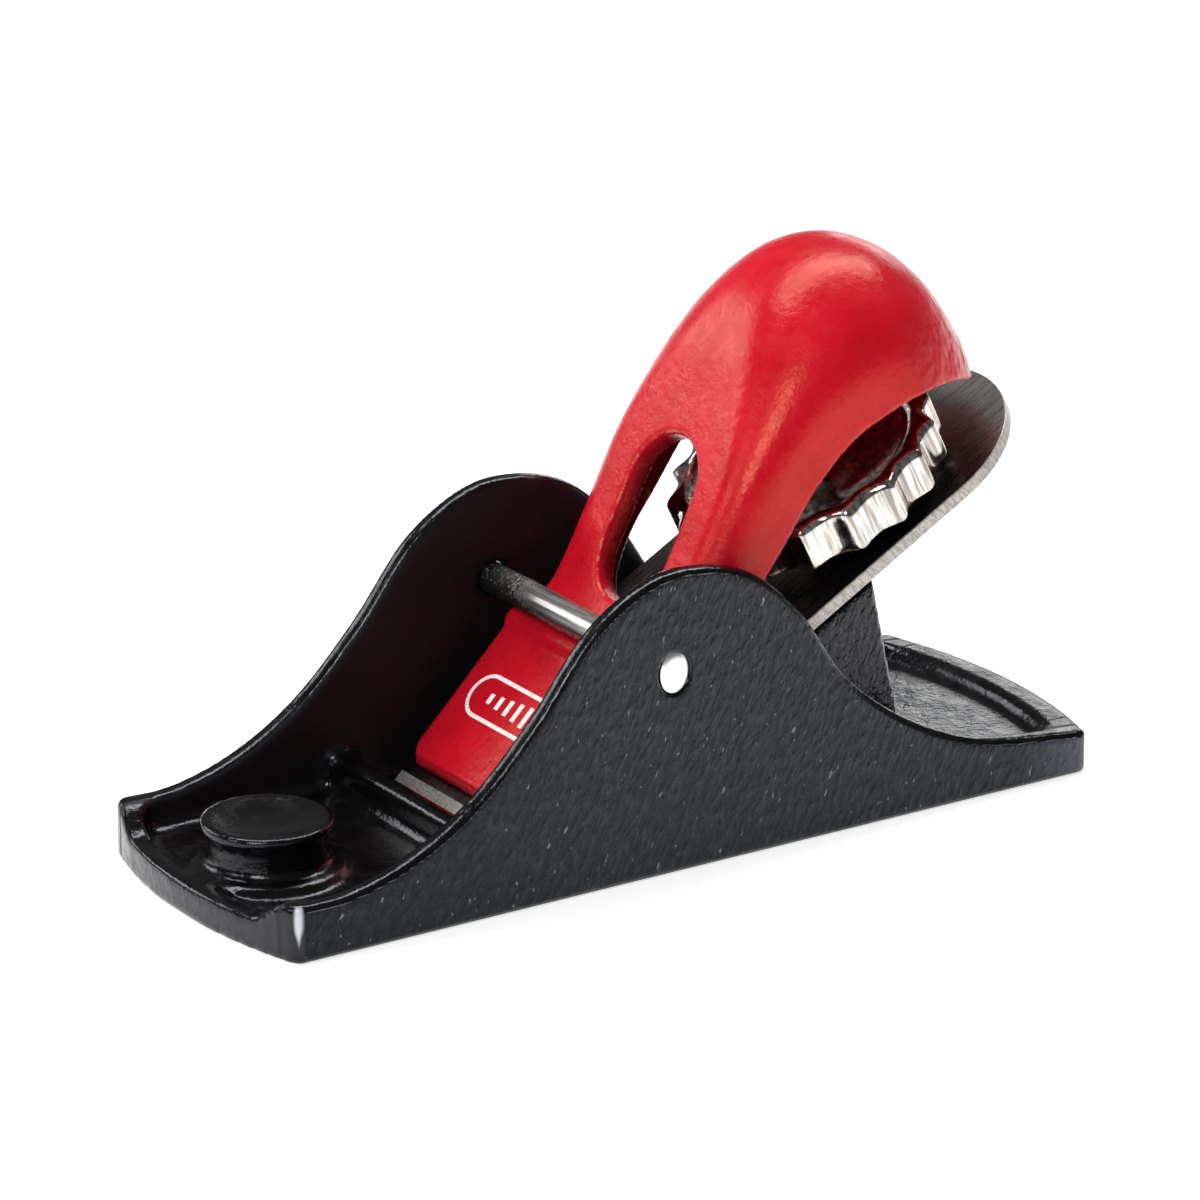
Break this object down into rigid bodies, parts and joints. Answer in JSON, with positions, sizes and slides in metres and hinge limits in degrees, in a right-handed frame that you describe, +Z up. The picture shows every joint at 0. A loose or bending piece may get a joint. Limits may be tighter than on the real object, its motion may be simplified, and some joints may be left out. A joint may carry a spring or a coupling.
{
  "type": "block plane",
  "caption": "Small non-adjustable block plane: cast body with humped cheeks and finger rest, cutter bedded bevel up, hooded lever cap rocking on a cross pin, scalloped lock wheel.",
  "frame": {"origin": "middle of the sole, on the sole plane", "axes": "+X from the toe towards the heel, +Y across the plane, +Z up from the sole"},
  "size_m": [0.14, 0.0496, 0.0791],
  "materials": {
    "black_enamel": "cast iron under stoved black enamel, satin on the flanks and glossy inside",
    "pin_steel": "drawn steel pin, ends riveted flush",
    "red_enamel": "glossy red enamel over a cast cap",
    "tool_steel": "hardened tool steel, dark on the flat and ground bright on the edges and bevel",
    "nickel_plate": "bright nickel plate",
    "stud_steel": "turned steel with a cut thread"
  },
  "bodies": {
    "body": {"plane_body": "black_enamel", "cross_pin": "pin_steel"},
    "cap": {"lever_cap": "red_enamel"},
    "cutter": {"cutter": "tool_steel"},
    "stud": {"lock_stud": "stud_steel"},
    "wheel": {"lock_wheel": "nickel_plate"}
  },
  "joints": [
    {"name": "cap_rock", "type": "hinge", "parent": "body", "child": "cap", "pos_m": [-0.00525, 0, 0.0297], "axis": [0, 1, 0], "range_deg": [0, 2.61]},
    {"name": "stud_travel", "type": "slide", "parent": "cap", "child": "stud", "axis": [-0.4384, 0, 0.8988], "range_m": [0, 0.00191]},
    {"name": "wheel_turn", "type": "hinge", "parent": "stud", "child": "wheel", "pos_m": [0.0349, 0, 0.0419], "axis": [-0.4384, 0, 0.8988], "range_deg": [0, 540]},
    {"name": "cutter_slide", "type": "slide", "parent": "body", "child": "cutter", "axis": [0.8704, 0, 0.4924], "range_m": [-0.001, 0.025]}
  ],
  "couplings": [
    {"joint": "stud_travel", "follows": "wheel_turn", "m_per_rad": 0.00020213},
    {"joint": "cap_rock", "follows": "wheel_turn", "ratio": 0.0048148}
  ]
}
